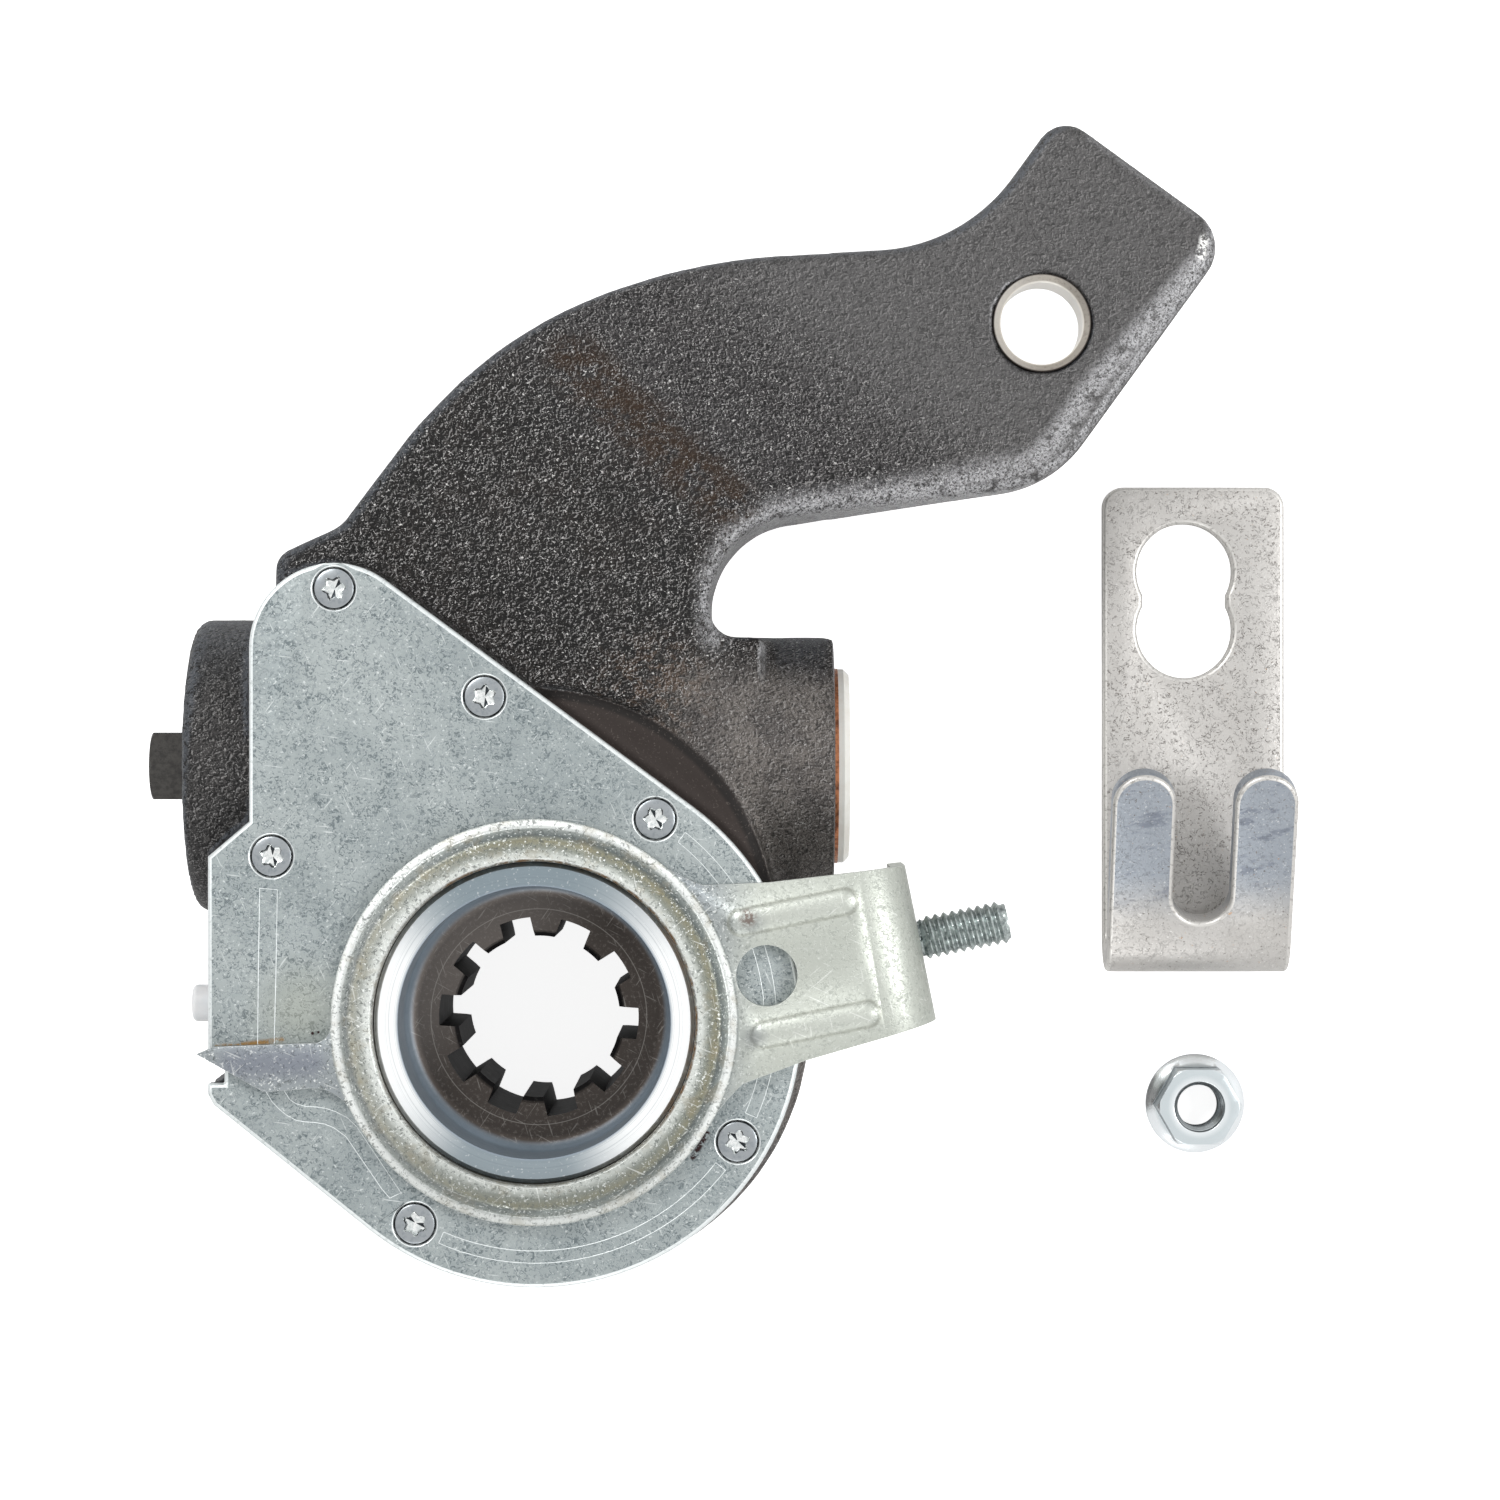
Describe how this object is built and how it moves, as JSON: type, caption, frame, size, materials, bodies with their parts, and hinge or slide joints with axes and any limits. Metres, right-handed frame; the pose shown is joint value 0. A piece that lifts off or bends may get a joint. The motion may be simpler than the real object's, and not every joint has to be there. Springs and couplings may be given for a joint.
{
  "type": "brake slack adjuster",
  "caption": "Automatic slack adjuster: cast lever arm with splined worm wheel hub, flat cover, swinging control arm with stud, loose anchor bracket and flange nut.",
  "frame": {"origin": "centre of the splined bore, on its axis, in the mid-plane of the lever arm", "axes": "+Z along the bore out of the cover; X along the worm shaft, +X from the adjusting hexagon towards the end cap; +Y from the hub towards the worm shaft"},
  "size_m": [0.2242, 0.2235, 0.0668],
  "materials": {
    "cast_black": "black coated rough casting",
    "zinc_plate": "mottled zinc plating",
    "zinc_yellow": "zinc plating with a faint yellow tone",
    "bright_zinc": "bright bluish zinc",
    "machined_steel": "turned bright steel",
    "ground_steel": "ground steel",
    "spring_steel": "oiled spring steel",
    "stainless": "tumbled bright steel",
    "pale_cap": "pale plated steel",
    "copper": "soft copper",
    "bronze": "bearing bronze",
    "rubber_black": "nitrile rubber",
    "gasket_dark": "gasket fibre",
    "white_plastic": "white moulded plastic"
  },
  "bodies": {
    "case": {"housing": "cast_black", "clevis_bushing": "machined_steel", "cover_plate": "zinc_plate", "cover_gasket": "gasket_dark", "cover_seal": "rubber_black", "cover_screws": "bright_zinc", "grease_plug": "white_plastic", "end_cap": "pale_cap", "end_cap_gasket": "copper", "thrust_spring": "spring_steel", "spring_seat": "ground_steel", "worm_bush_left": "bronze", "worm_bush_right": "bronze", "worm_seal": "rubber_black", "wheel_bearing": "bronze", "rack_spring": "spring_steel"},
    "wheel": {"worm_wheel": "machined_steel", "wheel_seal": "rubber_black"},
    "worm": {"worm_shaft": "ground_steel", "coupling_ring": "ground_steel"},
    "clutch": {"clutch_wheel": "ground_steel", "one_way_spring": "spring_steel"},
    "rack_bar": {"rack": "ground_steel"},
    "control": {"control_arm": "zinc_yellow", "control_sleeve": "ground_steel", "control_disc": "ground_steel", "anchor_stud": "bright_zinc"},
    "bracket": {"anchor_bracket": "stainless"},
    "nut": {"lock_nut": "bright_zinc"}
  },
  "joints": [
    {"name": "wheel_spin", "type": "hinge", "parent": "case", "child": "wheel", "pos_m": [0, 0, 0], "axis": [0, 0, 1], "continuous": true},
    {"name": "worm_spin", "type": "hinge", "parent": "case", "child": "worm", "pos_m": [0, 0.0478, 0], "axis": [1, 0, 0], "continuous": true},
    {"name": "control_turn", "type": "hinge", "parent": "case", "child": "control", "pos_m": [0, 0, 0], "axis": [0, 0, 1], "range_deg": [-18, 4]},
    {"name": "rack_slide", "type": "slide", "parent": "case", "child": "rack_bar", "axis": [0, 1, 0], "range_m": [-0.0027, 0.012], "deforming": ["rack_spring"]},
    {"name": "clutch_spin", "type": "hinge", "parent": "case", "child": "clutch", "pos_m": [0, 0.0478, 0], "axis": [1, 0, 0], "range_deg": [-53, 12]},
    {"name": "bracket_lift", "type": "slide", "parent": "case", "child": "bracket", "axis": [0, 0, 1], "range_m": [0, 0.05]},
    {"name": "nut_lift", "type": "slide", "parent": "case", "child": "nut", "axis": [0, 0, 1], "range_m": [0, 0.05]}
  ],
  "couplings": [
    {"joint": "worm_spin", "follows": "wheel_spin", "ratio": 24},
    {"joint": "rack_slide", "follows": "control_turn", "m_per_rad": -0.038},
    {"joint": "clutch_spin", "follows": "control_turn", "ratio": 2.9231}
  ]
}
